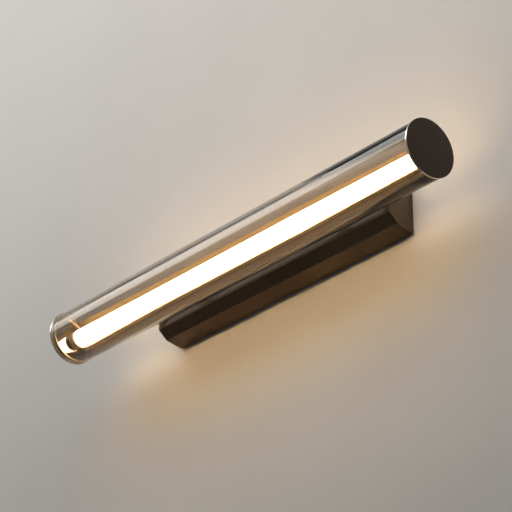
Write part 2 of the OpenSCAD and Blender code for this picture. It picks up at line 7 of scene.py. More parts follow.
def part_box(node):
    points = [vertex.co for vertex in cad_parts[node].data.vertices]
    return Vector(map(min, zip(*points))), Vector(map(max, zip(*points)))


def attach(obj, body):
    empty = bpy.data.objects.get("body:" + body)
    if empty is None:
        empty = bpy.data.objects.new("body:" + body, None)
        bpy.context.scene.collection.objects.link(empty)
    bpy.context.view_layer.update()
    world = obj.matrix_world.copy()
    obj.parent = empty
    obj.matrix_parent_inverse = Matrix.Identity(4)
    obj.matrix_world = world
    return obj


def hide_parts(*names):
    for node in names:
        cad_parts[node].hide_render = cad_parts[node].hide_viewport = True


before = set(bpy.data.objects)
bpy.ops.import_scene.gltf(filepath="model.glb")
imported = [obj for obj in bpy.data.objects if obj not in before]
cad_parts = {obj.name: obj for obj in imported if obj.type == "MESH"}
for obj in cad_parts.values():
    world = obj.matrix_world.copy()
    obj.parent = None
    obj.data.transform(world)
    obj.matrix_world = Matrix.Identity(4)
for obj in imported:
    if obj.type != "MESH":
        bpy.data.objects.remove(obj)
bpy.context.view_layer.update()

# Wall plate: a folded sheet of zinc plated steel that is screwed to the wall first. It has a
# shallow spangle from the plating and a slightly uneven shine.
MM = 0.001


def feed(tree, target, sockets):
    """Gives a node's sockets their plain values, or links them to the outputs that are handed in."""
    for name, value in sockets.items():
        if isinstance(value, bpy.types.NodeSocket):
            tree.links.new(value, target.inputs[name])
        else:
            target.inputs[name].default_value = value


def node(tree, kind, sockets=None, **settings):
    """A new node with these settings, and with its sockets fed."""
    made = tree.nodes.new(kind)
    for name, value in settings.items():
        setattr(made, name, value)
    feed(tree, made, sockets or {})
    return made


def new_group(name, kind, inputs, outputs):
    """An empty node group with these sockets; gives the group, its inlet's sockets and its outlet."""
    tree = bpy.data.node_groups.new(name, kind + "NodeTree")
    for in_out, sockets in (("INPUT", inputs), ("OUTPUT", outputs)):
        for socket, of_kind in sockets.items():
            tree.interface.new_socket(name=socket, in_out=in_out, socket_type="NodeSocket" + of_kind)
    return tree, tree.nodes.new("NodeGroupInput").outputs, tree.nodes.new("NodeGroupOutput")


def grain_effect():
    """Shader group: a colour, a roughness and a height that all change with one fine grain."""
    tree, given, outlet = new_group("fine grain", "Shader", {
        "Colour": "Color", "Second colour": "Color", "Scale": "Float", "Stretch": "Vector",
        "Smoothest": "Float", "Roughest": "Float"},
        {"Colour": "Color", "Roughness": "Float", "Height": "Float"})
    place = node(tree, "ShaderNodeTexCoord").outputs["Object"]
    stretched = node(tree, "ShaderNodeVectorMath", {0: place, 1: given["Stretch"]}, operation="MULTIPLY")
    finer = node(tree, "ShaderNodeMath", {0: given["Scale"], 1: 7.0}, operation="MULTIPLY")
    cloud, speck = (node(tree, "ShaderNodeTexNoise", {
        "Vector": stretched.outputs[0], "Scale": scale, "Detail": detail}).outputs["Fac"]
                    for scale, detail in ((given["Scale"], 5), (finer.outputs[0], 3)))
    blend = node(tree, "ShaderNodeMapRange", {"Value": cloud, "From Min": 0.35, "From Max": 0.65})
    mix = node(tree, "ShaderNodeMix", {
        "Factor": blend.outputs[0], "A": given["Colour"], "B": given["Second colour"]}, data_type="RGBA")
    both = node(tree, "ShaderNodeMath", {0: cloud, 1: speck}, operation="ADD")
    rough = node(tree, "ShaderNodeMapRange", {
        "Value": both.outputs[0], "From Min": 0.7, "From Max": 1.3, "To Min": given["Smoothest"],
        "To Max": given["Roughest"]})
    feed(tree, outlet, {"Colour": mix.outputs["Result"], "Roughness": rough.outputs[0], "Height": speck})
    return tree


FINE_GRAIN = grain_effect()


def finish(name, colour, second, scale, rough, relief, stretch=(1, 1, 1), edge=0.25, **plain):
    """A material with the fine grain in its colour, shine and relief, and soft edges of that width in mm;
    plain values go straight on the shader."""
    material = bpy.data.materials.new(name)
    material.use_nodes = True
    tree = material.node_tree
    grain = node(tree, "ShaderNodeGroup", {
        "Colour": (*colour, 1), "Second colour": (*second, 1), "Scale": scale, "Stretch": stretch,
        "Smoothest": rough[0], "Roughest": rough[1]}, node_tree=FINE_GRAIN).outputs
    bump = node(tree, "ShaderNodeBump", {"Strength": 0.5, "Distance": relief * MM, "Height": grain["Height"]})
    if edge:
        soft = node(tree, "ShaderNodeBevel", {"Radius": edge * MM}, samples=4)
        feed(tree, bump, {"Normal": soft.outputs[0]})
    feed(tree, tree.nodes["Principled BSDF"], {
        "Base Color": grain["Colour"], "Roughness": grain["Roughness"], "Normal": bump.outputs["Normal"],
        **{socket.replace("_", " "): value for socket, value in plain.items()}})
    return material


def shader_of(material):
    """A material's tree, its shader, and the output that colours it so far."""
    shader = material.node_tree.nodes["Principled BSDF"]
    return material.node_tree, shader, shader.inputs["Base Color"].links[0].from_socket


def coat(material, *names):
    """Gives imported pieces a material, in place of the plain one that they come with."""
    for name in names:
        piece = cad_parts[name]
        if not piece.material_slots:
            piece.data.materials.append(material)
        for slot in piece.material_slots:
            slot.material = material


zinc = finish("zinc plate", (0.56, 0.57, 0.58), (0.44, 0.45, 0.47), 90, (0.3, 0.46), 0.02, Metallic=1.0)
tree, shader, plating = shader_of(zinc)
spangle = node(tree, "ShaderNodeTexVoronoi", {
    "Scale": 260, "Vector": node(tree, "ShaderNodeTexCoord").outputs["Object"]})
facet = node(tree, "ShaderNodeMix", {"Factor": 0.12, "A": plating, "B": spangle.outputs["Color"]},
             data_type="RGBA", blend_type="MULTIPLY")
feed(tree, shader, {"Base Color": facet.outputs["Result"]})
coat(zinc, "wall_plate")

# Cable grommet: a soft black ring snapped into the wall plate where the supply cable comes through.
# Moulded rubber, so all its edges are round.
black_rubber = finish("black rubber", (0.022, 0.021, 0.02), (0.035, 0.033, 0.031), 500, (0.6, 0.8), 0.03)


def rounded(points, radius, steps=4):
    """The same closed outline with each corner off the axis turned into a small arc."""
    out = []
    for i, p in enumerate(points):
        p, a, b = Vector(p), Vector(points[i - 1]), Vector(points[(i + 1) % len(points)])
        if p[1] == 0:
            out.append(p)
            continue
        reach_a = min(radius, (a - p).length * 0.45)
        reach_b = min(radius, (b - p).length * 0.45)
        start, end = p + (a - p).normalized() * reach_a, p + (b - p).normalized() * reach_b
        for k in range(steps + 1):
            t = k / steps
            out.append(start * (1 - t) ** 2 + p * 2 * t * (1 - t) + end * t * t)
    return out


def crisp(work, angle=32):
    """Smooth shading that breaks only at real edges."""
    limit = math.radians(angle)
    for f in work.faces:
        f.smooth = True
    for e in work.edges:
        if len(e.link_faces) == 2 and e.calc_face_angle(0) > limit:
            e.smooth = False


def piece_of(name, work, *materials, angle=32):
    """The mesh being worked on becomes a piece in the scene, smooth up to its real edges."""
    bmesh.ops.recalc_face_normals(work, faces=work.faces)
    crisp(work, angle)
    mesh = bpy.data.meshes.new(name)
    work.to_mesh(mesh)
    work.free()
    for material in materials:
        mesh.materials.append(material)
    piece = bpy.data.objects.new(name, mesh)
    bpy.context.scene.collection.objects.link(piece)
    return piece


def turned(work, outline, centre, axis="X", around=128):
    """Adds a turned body: a closed outline of (place along the axis, radius) swept round the axis."""
    rings = []
    for along, r in outline:
        ring = []
        for k in range(around if r > 0 else 1):
            turn = 2 * math.pi * k / around
            u, v = r * math.cos(turn), r * math.sin(turn)
            at = {"X": (along, u, v), "Y": (u, along, v), "Z": (u, v, along)}[axis]
            ring.append(work.verts.new(Vector(centre) + Vector(at)))
        rings.append(ring)
    for i, ring in enumerate(rings):
        after = rings[(i + 1) % len(rings)]
        for k in range(around):
            corners = ((ring, 0), (ring, 1), (after, 1), (after, 0))
            quad = [row[(k + step) % len(row)] for row, step in corners]
            quad = list(dict.fromkeys(quad))
            if len(quad) > 2:
                work.faces.new(quad)


def turned_piece(name, outline, centre, *materials, axis="X", around=128):
    """A piece that is one turned body."""
    work = bmesh.new()
    turned(work, outline, centre, axis, around)
    return piece_of(name, work, *materials)


def stands_for(piece, body, slot, *names):
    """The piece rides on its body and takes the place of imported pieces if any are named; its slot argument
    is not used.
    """
    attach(piece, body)
    if names:
        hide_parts(*names)


low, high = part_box("cable_grommet")
grommet_r, hole_r, waist_r, collar_y = (high.x - low.x) / 2, 4.5 * MM, 7.95 * MM, -1.8 * MM
grommet_outline = [(high.y, hole_r), (high.y, waist_r), (collar_y, waist_r), (collar_y, grommet_r),
                   (low.y, grommet_r), (low.y, hole_r)]
grommet = turned_piece("grommet_ring", rounded(grommet_outline, 0.6 * MM), ((low.x + high.x) / 2, 0, 0),
                       black_rubber, axis="Y", around=64)
stands_for(grommet, "wall", "black_rubber", "cable_grommet")

# Earth stud and nut: plain brass, so that the supply's earth wire has a clean place on the plate.
# The nut's flats show fine tool marks.
brass = finish("satin brass", (0.74, 0.53, 0.25), (0.62, 0.42, 0.19), 260, (0.18, 0.36), 0.02, Metallic=1.0)
coat(brass, "earth_stud", "earth_nut")

# Bracket housing and end blocks: an aluminium extrusion closed by two solid end blocks, all powder
# coated in a near-black bronze. Its long edges are slightly rounded and catch a thin line of light.
bronze_coat = finish("dark bronze powder coat", (0.125, 0.1, 0.072), (0.108, 0.086, 0.062), 420,
                     (0.26, 0.36), 0.03, edge=0, Metallic=0.9, Specular_Tint=(0.8, 0.7, 0.6, 1))


def edge_highlight_and_wear_effect():
    """Shader group: a lighter colour along the edges, broken up by grain, which is painted highlight and wear
    in one, and the plain colour elsewhere.
    """
    tree, given, outlet = new_group("edge wear", "Shader", {
        "Colour": "Color", "Worn colour": "Color", "Width": "Float", "Amount": "Float"}, {"Colour": "Color"})
    soft = node(tree, "ShaderNodeBevel", {"Radius": given["Width"]}, samples=4)
    geometry = node(tree, "ShaderNodeNewGeometry")
    dot = node(tree, "ShaderNodeVectorMath", {
        0: soft.outputs[0], 1: geometry.outputs["True Normal"]}, operation="DOT_PRODUCT")
    turn = node(tree, "ShaderNodeMapRange", {
        "Value": dot.outputs["Value"], "From Min": 0.995, "From Max": 0.86})
    patch = node(tree, "ShaderNodeTexNoise", {
        "Scale": 140, "Vector": node(tree, "ShaderNodeTexCoord").outputs["Object"]})
    broken = node(tree, "ShaderNodeMath", {0: turn.outputs[0], 1: patch.outputs["Fac"]}, operation="MULTIPLY")
    share = node(tree, "ShaderNodeMath", {0: broken.outputs[0], 1: given["Amount"]}, operation="MULTIPLY",
                 use_clamp=True)
    mix = node(tree, "ShaderNodeMix", {
        "Factor": share.outputs[0], "A": given["Colour"], "B": given["Worn colour"]}, data_type="RGBA")
    feed(tree, outlet, {"Colour": mix.outputs["Result"]})
    return tree


EDGE_HIGHLIGHT_AND_WEAR = edge_highlight_and_wear_effect()


def paint_edge_highlight_and_wear(material, highlight_and_worn, width, amount):
    """Puts the lighter edges, painted highlight and wear in one, between a material's colour and its shader.
    """
    tree, shader, fresh = shader_of(material)
    wear = node(tree, "ShaderNodeGroup", {
        "Colour": fresh, "Worn colour": (*highlight_and_worn, 1), "Width": width * MM, "Amount": amount},
                node_tree=EDGE_HIGHLIGHT_AND_WEAR)
    feed(tree, shader, {"Base Color": wear.outputs["Colour"]})


# The bronze coat's edges are painted lighter: a painted highlight along them, which also stands for wear.
paint_edge_highlight_and_wear(bronze_coat, (0.34, 0.27, 0.2), 0.5, 0.9)


def drawn(work, outline, x0, x1):
    """Adds a body: an outline of (y, z) points drawn along X."""
    left = [work.verts.new((x0, y, z)) for y, z in outline]
    right = [work.verts.new((x1, y, z)) for y, z in outline]
    for i in range(len(outline)):
        j = (i + 1) % len(outline)
        work.faces.new((left[i], left[j], right[j], right[i]))
    work.faces.new(left)
    work.faces.new(right)


def soften_edges(work, width, segments=3):
    """Rounds all the real edges of the mesh being worked on."""
    bmesh.ops.recalc_face_normals(work, faces=work.faces)
    corners = [e for e in work.edges if e.calc_face_angle(0) > math.radians(15)]
    bmesh.ops.bevel(work, geom=corners, offset=width, segments=segments, profile=0.6, affect="EDGES",
                    clamp_overlap=True)


def bar(r, centre, length, axis="Y", sides=48):
    """A round bar to drill or cut with."""
    work = bmesh.new()
    bmesh.ops.create_cone(work, cap_ends=True, segments=sides, radius1=r, radius2=r, depth=length)
    if axis == "Y":
        bmesh.ops.rotate(work, verts=work.verts, matrix=Matrix.Rotation(math.pi / 2, 3, "X"))
    if axis == "X":
        bmesh.ops.rotate(work, verts=work.verts, matrix=Matrix.Rotation(math.pi / 2, 3, "Y"))
    bmesh.ops.translate(work, verts=work.verts, vec=centre)
    return work


def drill(piece, *holes):
    """Takes the bodies out of the piece one after the other."""
    for hole in holes:
        cutter_mesh = bpy.data.meshes.new("cutter")
        hole.to_mesh(cutter_mesh)
        hole.free()
        cutter = bpy.data.objects.new("cutter", cutter_mesh)
        bpy.context.scene.collection.objects.link(cutter)
        cut = piece.modifiers.new("cut", "BOOLEAN")
        cut.operation, cut.solver, cut.object = "DIFFERENCE", "EXACT", cutter
        bpy.context.view_layer.update()
        evaluated = piece.evaluated_get(bpy.context.evaluated_depsgraph_get())
        result = bpy.data.meshes.new_from_object(evaluated)
        piece.modifiers.clear()
        old, piece.data = piece.data, result
        bpy.data.meshes.remove(old)
        result.name = piece.name
        bpy.data.objects.remove(cutter)
    work = bmesh.new()
    work.from_mesh(piece.data)
    crisp(work, 35)
    work.to_mesh(piece.data)
    work.free()


low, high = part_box("bracket_housing")
shadow_gap, depth, half_height = -high.y, -low.y, high.z
shoulder_out, shoulder_z, front_z = 22 * MM, 22.2 * MM, 13 * MM
lip_back, slot_half = 29.5 * MM, 8.5 * MM
inner_edge_z, inner_shoulder, inner_shoulder_z = 23.94 * MM, 20.98 * MM, 19.85 * MM
inner_front_z = 12.47 * MM
web_front, web_back = 23.5 * MM, 21.5 * MM
web_front_z, web_back_z = 17.66 * MM, 19.4 * MM
side = [(-shadow_gap, half_height), (-shoulder_out, shoulder_z), (-depth, front_z), (-depth, slot_half),
        (-lip_back, slot_half), (-lip_back, inner_front_z), (-web_front, web_front_z)]
back = [(-web_back, web_back_z), (-inner_shoulder, inner_shoulder_z), (-shadow_gap, inner_edge_z)]
housing_outline = side + [(y, -z) for y, z in reversed(side)] + [(y, -z) for y, z in reversed(back)] + back
key_x, key_y, key_z, key_r, key_length = 128 * MM, -6.5 * MM, 22.5 * MM, 2.05 * MM, 15 * MM
work = bmesh.new()
drawn(work, housing_outline, low.x, high.x)
soften_edges(work, 0.3 * MM)
housing = piece_of("housing_extrusion", work, bronze_coat, angle=40)
drill(housing, *(bar(key_r, (x, key_y, key_z), key_length, "Z", 32) for x in (-key_x, key_x)))
stands_for(housing, "housing", "black_bronze_paint", "bracket_housing")

end_outline = [(-shadow_gap, half_height), (-shoulder_out, shoulder_z), (-depth, front_z)]
end_outline += [(y, -z) for y, z in reversed(end_outline)]
for label in ("left", "right"):
    low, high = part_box("bracket_end_" + label)
    work = bmesh.new()
    drawn(work, end_outline, low.x, high.x)
    soften_edges(work, 0.35 * MM)
    block = piece_of("end_block_" + label, work, bronze_coat, angle=40)
    stands_for(block, "housing", "black_bronze_paint", "bracket_end_" + label)

# Bracket seal: a thin foam rubber frame that closes the joint between the bracket and the wall.
# It lies a little inside the bracket's edge, so it reads as a thin black line.
seal_foam = finish("seal foam", (0.018, 0.017, 0.016), (0.03, 0.028, 0.027), 900, (0.8, 0.95), 0.08)
coat(seal_foam, "bracket_seal")

# Screws and nuts: bright steel, all standard small parts. One geometry tree puts the same screw at
# each of its places and turns every one a little differently, as a fitter leaves them.
steel = finish("bright steel", (0.55, 0.56, 0.58), (0.44, 0.45, 0.47), 700, (0.2, 0.38), 0.015, Metallic=1.0)


def paint_out(tree, made, given, outlet):
    """The last step of a geometry tree: what was made takes its finish and goes out."""
    paint = node(tree, "GeometryNodeSetMaterial", {"Geometry": made.outputs[0], "Material": given["Finish"]})
    feed(tree, outlet, {0: paint.outputs[0]})


def spread_tree():
    """Geometry tree: one part on every point, each with its own turn about its own axis."""
    tree, given, outlet = new_group("part on points", "Geometry", {
        "Geometry": "Geometry", "Part": "Object", "Lay": "Vector", "Spin": "Float", "Seed": "Int",
        "Finish": "Material"}, {"Geometry": "Geometry"})
    part = node(tree, "GeometryNodeObjectInfo", {"Object": given["Part"]})
    put = node(tree, "GeometryNodeInstanceOnPoints", {
        "Points": given["Geometry"], "Instance": part.outputs["Geometry"], "Rotation": given["Lay"]})
    chance = node(tree, "FunctionNodeRandomValue", {"Max": given["Spin"], "Seed": given["Seed"]})
    about = node(tree, "ShaderNodeCombineXYZ", {"Z": chance.outputs["Value"]})
    turn = node(tree, "GeometryNodeRotateInstances", {
        "Instances": put.outputs[0], "Rotation": about.outputs[0]})
    paint_out(tree, node(tree, "GeometryNodeRealizeInstances", {0: turn.outputs[0]}), given, outlet)
    return tree


SPREAD = spread_tree()


def grown(name, tree, values, points=(), edges=()):
    """A plain mesh piece made by a geometry tree with these input values, from these points and edges."""
    seed = bpy.data.meshes.new(name)
    seed.from_pydata(points, edges, [])
    holder = bpy.data.objects.new(name, seed)
    bpy.context.scene.collection.objects.link(holder)
    grow = holder.modifiers.new("grow", "NODES")
    grow.node_group = tree
    for item in tree.interface.items_tree:
        if item.in_out == "INPUT" and item.name in values:
            grow[item.identifier] = values[item.name]
    bpy.context.view_layer.update()
    mesh = bpy.data.meshes.new_from_object(holder.evaluated_get(bpy.context.evaluated_depsgraph_get()))
    holder.modifiers.clear()
    old, holder.data = holder.data, mesh
    bpy.data.meshes.remove(old)
    mesh.name = name
    return holder


def fitted(name, part, places, lay, material, spin=2 * math.pi, seed=3):
    """The part at each place, laid that way; the single part is taken away afterwards."""
    row = grown(name, SPREAD, {
        "Part": part, "Lay": lay, "Spin": spin, "Seed": seed, "Finish": material}, places)
    bpy.data.objects.remove(part)
    return row


def socket_screw(d, length):
    """A headless screw with a hexagon socket, from its inner end at zero up along Z."""
    edge = 0.12 * d
    shape = [(0, 0), (0, d / 2 - edge), (edge, d / 2), (length - edge, d / 2), (length, d / 2 - edge),
             (length, 0)]
    screw = turned_piece("screw", shape, (0, 0, 0), steel, axis="Z", around=48)
    drill(screw, bar(d * 0.27, (0, 0, length), d, "Z", 6))
    return screw


def pan_screw(d, head_d, head_t, length, cross=True):
    """A pan-head screw with a cross or a slot; the head's face is at zero and the shank goes up along Z."""
    dome = [(head_t * (1 - math.cos(a)) ** 1.2 * 0.55, head_d / 2 * math.sin(a)) for a in
            (math.pi / 2 * k / 8 for k in range(9))]
    shape = dome + [(head_t, head_d / 2), (head_t, d / 2), (length, d / 2), (length, 0)]
    screw = turned_piece("screw", shape, (0, 0, 0), steel, axis="Z", around=48)
    for turn in (0, math.pi / 2) if cross else (0,):
        slot = bmesh.new()
        bmesh.ops.create_cube(slot, size=1)
        bmesh.ops.scale(slot, verts=slot.verts, vec=(head_d * (0.6 if cross else 1.2), head_t * 0.3, head_t))
        bmesh.ops.rotate(slot, verts=slot.verts, matrix=Matrix.Rotation(turn, 3, "Z"))
        drill(screw, slot)
    return screw


def nut(across, thickness, bore_r, sides=6):
    """A nut from zero up along Z, with its corners turned off at both faces."""
    work = bmesh.new()
    corner = across / 2 / math.cos(math.pi / sides)
    rings = []
    for z, inward in ((0, 0.94), (0.12, 1), (0.88, 1), (1, 0.94)):
        rings.append([
            work.verts.new((corner * inward * math.cos(a), corner * inward * math.sin(a), z * thickness))
            for a in (2 * math.pi * (k + (0.5 if sides == 4 else 0)) / sides for k in range(sides))])
    for lower, upper in zip(rings, rings[1:]):
        for k in range(sides):
            work.faces.new((lower[k], lower[(k + 1) % sides], upper[(k + 1) % sides], upper[k]))
    work.faces.new(rings[0])
    work.faces.new(rings[-1])
    plain = piece_of("nut", work, steel, angle=20)
    drill(plain, bar(bore_r, (0, 0, thickness / 2), thickness * 2, "Z"))
    return plain


TO_WALL, AWAY, UP = (math.pi / 2, 0, 0), (-math.pi / 2, 0, 0), (0, 0, 0)
coat(steel, "end_dowels")
standoff_x = 110 * MM
standoff_places = (-standoff_x, standoff_x)
low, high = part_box("locking_screws")
locks = fitted("locking_screw_pair", socket_screw(high.y - low.y, high.z - low.z),
               [(x, (low.y + high.y) / 2, low.z) for x in (-key_x, key_x)], UP, steel)
stands_for(locks, "housing", "fastener_steel", "locking_screws")
low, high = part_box("block_set_screws")
d = 3 * MM
sets = fitted("set_screw_row", socket_screw(d, high.y - low.y),
              [(x + dx, high.y, z) for x in standoff_places for dx in (-9 * MM, 9 * MM)
               for z in (low.z + d / 2, high.z - d / 2)], TO_WALL, steel, seed=5)
stands_for(sets, "housing", "fastener_steel", "block_set_screws")
low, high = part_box("tray_screws")
head_d, head_t = high.z - low.z, 2 * MM
pans = fitted("tray_screw_row", pan_screw(3 * MM, head_d, head_t, high.y - low.y),
              [(x + dx, high.y, 0) for x in standoff_places for dx in (-12 * MM, 12 * MM)],
              TO_WALL, steel, seed=7)
stands_for(pans, "housing", "fastener_steel", "tray_screws")
low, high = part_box("driver_screws")
driver_pans = fitted("driver_screw_pair", pan_screw(3 * MM, head_d, head_t, high.y - low.y),
                     [(x, high.y, 0) for x in (low.x + head_d / 2, high.x - head_d / 2)],
                     TO_WALL, steel, seed=11)
stands_for(driver_pans, "housing", "fastener_steel", "driver_screws")
low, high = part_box("standoff_locknuts")
lock_nuts = fitted("locknut_pair", nut(high.z - low.z, high.y - low.y, 4.06 * MM),
                   [(x, high.y, 0) for x in standoff_places], TO_WALL, steel, spin=0)
stands_for(lock_nuts, "housing", "fastener_steel", "standoff_locknuts")
low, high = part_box("carrier_nuts")
square_nuts = fitted("square_nut_pair", nut(high.z - low.z, high.y - low.y, 3.06 * MM, 4),
                     [(x, high.y, 0) for x in standoff_places], TO_WALL, steel, spin=0)
stands_for(square_nuts, "housing", "fastener_steel", "carrier_nuts")
low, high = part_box("holder_screws")
head_d = high.z - low.z
rail_screws = fitted("holder_screw_pair", pan_screw(2.5 * MM, head_d, 1.35 * MM, high.y - low.y, cross=False),
                     [(x, high.y, 0) for x in (low.x + head_d / 2, high.x - head_d / 2)],
                     TO_WALL, steel, seed=13)
stands_for(rail_screws, "housing", "fastener_steel", "holder_screws")

# Clamp blocks: short pieces of milled aluminium that slide in the housing's front channel and
# carry the standoffs. Their long faces show milling lines.
milled = finish("milled aluminium", (0.66, 0.66, 0.67), (0.56, 0.56, 0.57), 60, (0.26, 0.42), 0.02,
                stretch=(1, 12, 12), Metallic=1.0)
coat(milled, "clamp_blocks")

# Gear tray, driver and terminals: a zinc plated tray holds a moulded driver and a white three-way
# terminal block with brass screws.
white_plastic = finish("white moulding", (0.78, 0.77, 0.74), (0.7, 0.69, 0.66), 800, (0.42, 0.58), 0.02,
                       edge=0.5)
coat(zinc, "gear_tray")
coat(white_plastic, "led_driver", "terminal_block")
low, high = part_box("terminal_screws")
d = 3 * MM
clamps = fitted("terminal_screw_row", pan_screw(d * 0.8, d, 1.2 * MM, high.y - low.y, cross=False),
                [(x, low.y, z) for x in (low.x + d / 2, high.x - d / 2)
                 for z in (low.z + d / 2, (low.z + high.z) / 2, high.z - d / 2)], AWAY, brass, seed=17)
stands_for(clamps, "housing", "brass", "terminal_screws")

# Leads: thin round leads with plain white insulation. They bend in small arcs where they turn into
# the standoff and out along the lamp rail.
insulation = finish("lead insulation", (0.74, 0.73, 0.7), (0.66, 0.65, 0.62), 900, (0.3, 0.42), 0.01, edge=0)


def lead_tree():
    """Geometry tree: the object's own edges become round leads with rounded bends."""
    tree, given, outlet = new_group("lead along a path", "Geometry", {
        "Geometry": "Geometry", "Bend": "Float", "Radius": "Float", "Finish": "Material"},
        {"Geometry": "Geometry"})
    line = node(tree, "GeometryNodeMeshToCurve", {"Mesh": given["Geometry"]})
    bend = node(tree, "GeometryNodeFilletCurve", {
        "Curve": line.outputs[0], "Radius": given["Bend"], "Count": 6, "Limit Radius": True}, mode="POLY")
    ring = node(tree, "GeometryNodeCurvePrimitiveCircle", {"Resolution": 16, "Radius": given["Radius"]})
    skin = node(tree, "GeometryNodeCurveToMesh", {
        "Curve": bend.outputs[0], "Profile Curve": ring.outputs[0], "Fill Caps": True})
    paint_out(tree, skin, given, outlet)
    return tree


LEAD = lead_tree()
low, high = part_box("lamp_leads")
lead_r, lead_z, driver_face = 0.55 * MM, 0.9 * MM, 85.5 * MM
start_y, rail_y = high.y - lead_r, low.y + lead_r
points, edges = [], []
for z in (-lead_z, lead_z):
    for run in ([(driver_face, start_y, z), (standoff_x, start_y, z), (standoff_x, rail_y, z),
                 (high.x, rail_y, z)], [(standoff_x + 1.2 * MM, rail_y, z), (low.x, rail_y, z)]):
        edges += [(len(points) + k, len(points) + k + 1) for k in range(len(run) - 1)]
        points += run
lamp_wires = grown("lamp_lead_pair", LEAD, {"Bend": 1.6 * MM, "Radius": lead_r, "Finish": insulation},
                   points, edges)
stands_for(lamp_wires, "housing", "lead_insulation", "lamp_leads")
low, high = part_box("supply_leads")
lead_r = (high.y - low.y) / 2
points = [(x, (low.y + high.y) / 2, z) for z in (low.z + lead_r, high.z - lead_r) for x in (low.x, high.x)]
supply_wires = grown("supply_lead_pair", LEAD, {"Bend": 0, "Radius": lead_r, "Finish": insulation}, points,
                     [(0, 1), (2, 3)])
stands_for(supply_wires, "housing", "lead_insulation", "supply_leads")

# Slot cover: a strip of black plastic behind the two lips, which hides the clamp blocks between
# the standoffs.
black_plastic = finish("black strip", (0.03, 0.025, 0.021), (0.042, 0.036, 0.03), 600, (0.45, 0.6), 0.02)
coat(black_plastic, "slot_cover")

# Standoffs: two hollow turned spacers in the bracket's colour, which hold the tube 12 mm off the
# bracket and carry the lamp's leads. Each has a small chamfer at both ends.
def turned_pair(outline, around):
    """The mesh of two equal turned bodies, one at each standoff."""
    work = bmesh.new()
    for x in standoff_places:
        turned(work, outline, (x, 0, 0), "Y", around)
    return work


low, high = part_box("standoffs")
way_r, tail_r, body_r, neck_r, body_front = 1.8 * MM, 4 * MM, 4.5 * MM, 3 * MM, 43.5 * MM
shape = [(high.y, way_r), (high.y, tail_r), (-lip_back, tail_r), (-lip_back, body_r), (-body_front, body_r),
         (-body_front, neck_r), (low.y, neck_r), (low.y, way_r)]
work = turned_pair(rounded(shape, 0.35 * MM), 96)
stands_for(piece_of("standoff_pair", work, bronze_coat), "housing", "black_bronze_paint", "standoffs")

# Saddle washers: soft rings between the standoffs and the tube, cut to the tube's curve, and thin
# clear ones inside it. They keep metal off the tube's wall.
clear_washer = finish("natural washer", (0.66, 0.63, 0.57), (0.58, 0.55, 0.5), 500, (0.35, 0.5), 0.02)
tube_low, tube_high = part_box("outer_tube")
tube_axis = Vector((0, (tube_low.y + tube_high.y) / 2, 0))
tube_r = (tube_high.y - tube_low.y) / 2
washer_ri = 3.05 * MM
low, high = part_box("outer_washers")
shape = [(high.y, washer_ri), (high.y, high.z), (low.y, high.z), (low.y, washer_ri)]
saddles = piece_of("saddle_washer_pair", turned_pair(rounded(shape, 0.2 * MM, 2), 96), black_rubber)
fit, cut_length = 0.05 * MM, 14 * MM
drill(saddles, *(bar(tube_r + fit, (x, tube_axis.y, 0), cut_length, "X", 256) for x in standoff_places))
stands_for(saddles, "housing", "black_rubber", "outer_washers")
low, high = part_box("inner_washers")
shape = [(high.y, washer_ri), (high.y, high.z), (low.y, high.z), (low.y, washer_ri)]
work = turned_pair(rounded(shape, 0.1 * MM, 2), 64)
stands_for(piece_of("clear_washer_pair", work, clear_washer), "housing", "clear_washer", "inner_washers")

# Outer tube: 60 mm clear tube with a 5 mm wall and a warm smoke tint, cut square and polished at
# both ends, with two holes at the back for the standoffs. Its thick wall bends what is behind it.
bore_r, tube_end = 25 * MM, tube_high.x
smoky = bpy.data.materials.new("smoky clear tube")
smoky.use_nodes = True
tree = smoky.node_tree
glass = tree.nodes["Principled BSDF"]
smear = node(tree, "ShaderNodeGroup", {
    "Scale": 60, "Stretch": (1, 1, 1), "Smoothest": 0.002, "Roughest": 0.006}, node_tree=FINE_GRAIN)
feed(tree, glass, {"Base Color": (0.49, 0.43, 0.365, 1), "Transmission Weight": 1.0, "IOR": 1.49,
                   "Roughness": smear.outputs["Roughness"]})


def shows(tree, mask, first, second):
    """The material shows the first shader, and the second one as far as the mask says so."""
    choose = node(tree, "ShaderNodeMixShader", {0: mask, 1: first.outputs[0], 2: second.outputs[0]})
    feed(tree, tree.nodes["Material Output"], {"Surface": choose.outputs[0]})


def lets_lamps_through(tree, shader, colour, walls=None):
    """Light on its way to what lies behind passes straight through this shader's surface in that colour,
    and so does what has come through that many clear surfaces before."""
    path = node(tree, "ShaderNodeLightPath").outputs
    passes = node(tree, "ShaderNodeMath", {0: path["Is Shadow Ray"], 1: path["Is Diffuse Ray"]},
                  operation="MAXIMUM")
    if walls:
        deep = node(tree, "ShaderNodeMath", {0: path["Transmission Depth"], 1: walls - 0.5},
                    operation="GREATER_THAN")
        passes = node(tree, "ShaderNodeMath", {0: deep.outputs[0], 1: passes.outputs[0]}, operation="MAXIMUM")
    shows(tree, passes.outputs[0], shader, node(tree, "ShaderNodeBsdfTransparent", {"Color": (*colour, 1)}))


lets_lamps_through(tree, glass, (0.96, 0.94, 0.91), walls=2)
ends = [tuple(p) for p in rounded([(-tube_end, bore_r), (-tube_end, tube_r), (tube_end, tube_r),
                                   (tube_end, bore_r)], 0.35 * MM)]
half_way = len(ends) // 2
beside_holes = [x * MM for x in (-118, -102, 102, 118)]
tube_outline = (ends[:half_way] + [(x, tube_r) for x in beside_holes] + ends[half_way:]
                + [(x, bore_r) for x in reversed(beside_holes)])
tube = turned_piece("clear_tube", tube_outline, tube_axis, smoky, around=256)
neck_hole_r, wall_middle_y, through = 3.15 * MM, -47.5 * MM, 20 * MM
drill(tube, *(bar(neck_hole_r, (x, wall_middle_y, 0), through) for x in standoff_places))
stands_for(tube, "housing", "smoky_clear", "outer_tube")

